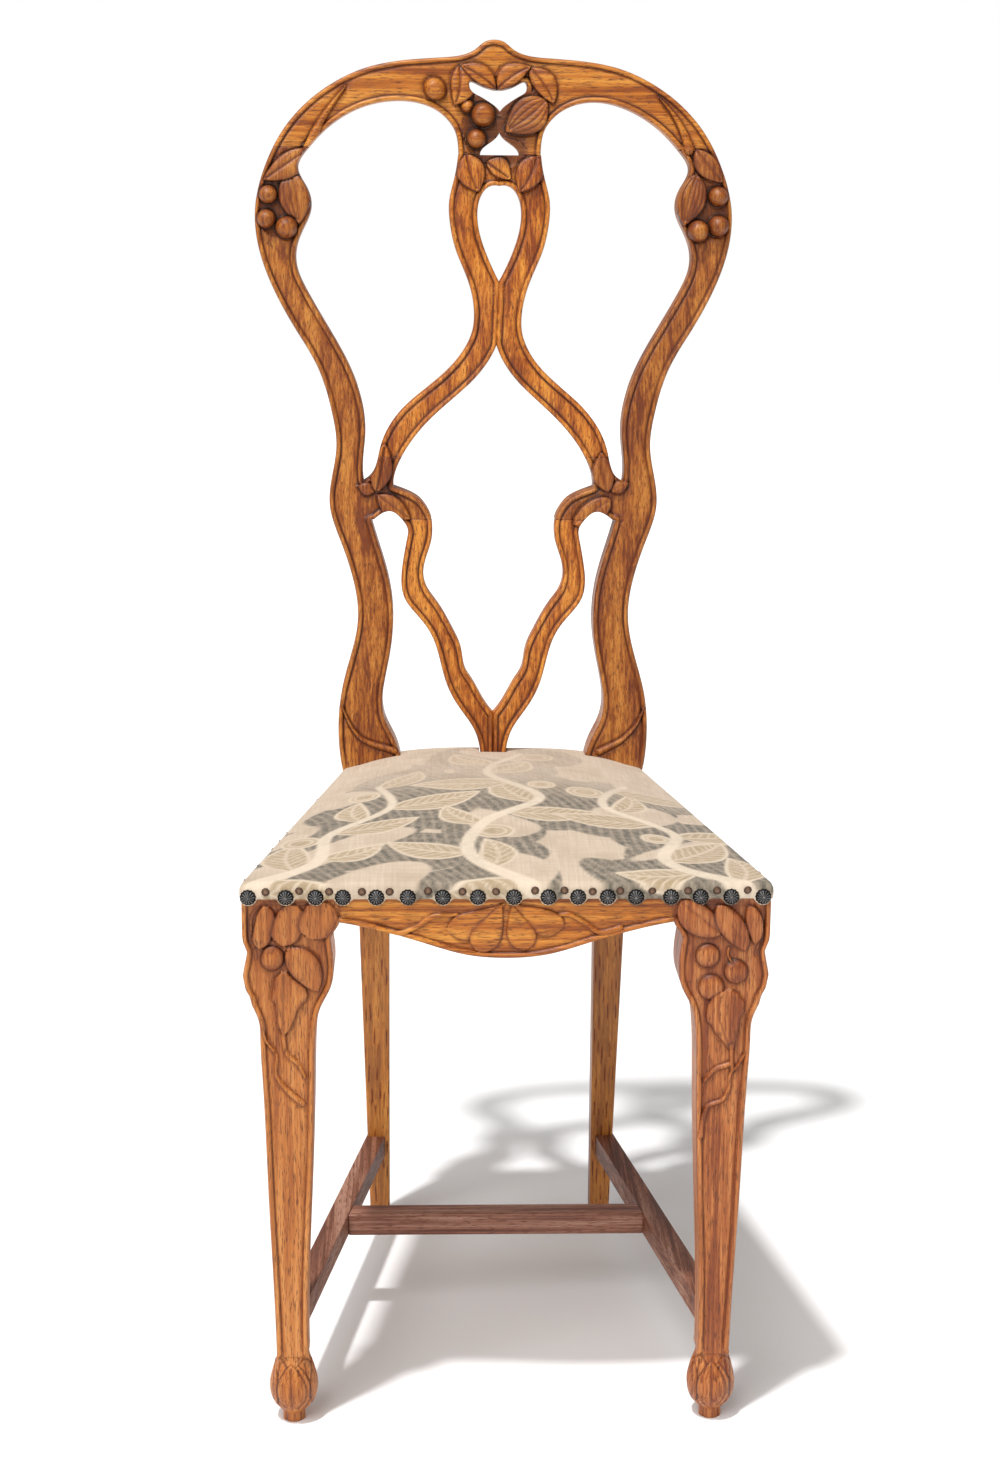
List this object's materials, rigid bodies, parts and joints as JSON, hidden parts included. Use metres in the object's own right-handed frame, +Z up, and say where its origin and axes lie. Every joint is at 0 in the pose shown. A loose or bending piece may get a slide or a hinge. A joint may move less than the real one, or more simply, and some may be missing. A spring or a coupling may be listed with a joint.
{
  "type": "carved side chair",
  "caption": "Carved wooden side chair with a tall pierced back of curving ribs, leaf and berry ornament, a shaped front rail, an H stretcher and a nailed fabric seat.",
  "frame": {"origin": "on the floor under the middle of the chair's box", "axes": "+Z up, +X to the right seen from the front, +Y towards the back; the chair faces -Y"},
  "size_m": [0.4374, 0.509, 1.118],
  "materials": {
    "carved_wood": "carved, stained warm brown and waxed",
    "rail_wood": "planed, stained and waxed",
    "stretcher_wood": "planed, dark stained",
    "block_wood": "sawn, unfinished",
    "screw_steel": "plain",
    "jute_webbing": "woven jute",
    "hessian": "open plain weave",
    "stuffing": "loose fibre",
    "seat_fabric": "printed plain-weave linen",
    "dark_nails": "dark bronzed, daisy headed",
    "brown_tacks": "browned steel"
  },
  "bodies": {
    "root": {"right_front_leg": "carved_wood", "left_front_leg": "carved_wood", "right_back_post": "carved_wood", "left_back_post": "carved_wood", "crest_rail": "carved_wood", "right_upper_rib": "carved_wood", "left_upper_rib": "carved_wood", "right_lower_rib": "carved_wood", "left_lower_rib": "carved_wood", "front_seat_rail": "carved_wood", "right_seat_rail": "rail_wood", "left_seat_rail": "rail_wood", "rear_seat_rail": "rail_wood", "right_side_stretcher": "stretcher_wood", "left_side_stretcher": "stretcher_wood", "cross_stretcher": "stretcher_wood", "right_front_block": "block_wood", "left_front_block": "block_wood", "right_rear_block": "block_wood", "left_rear_block": "block_wood", "crest_dowels": "block_wood", "rib_dowels": "block_wood", "block_screws": "screw_steel", "lengthwise_webbing": "jute_webbing", "crosswise_webbing": "jute_webbing", "seat_hessian": "hessian", "seat_stuffing": "stuffing", "seat_cover": "seat_fabric", "decorative_nails": "dark_nails", "seat_tacks": "brown_tacks", "webbing_tacks": "brown_tacks"}
  },
  "joints": []
}
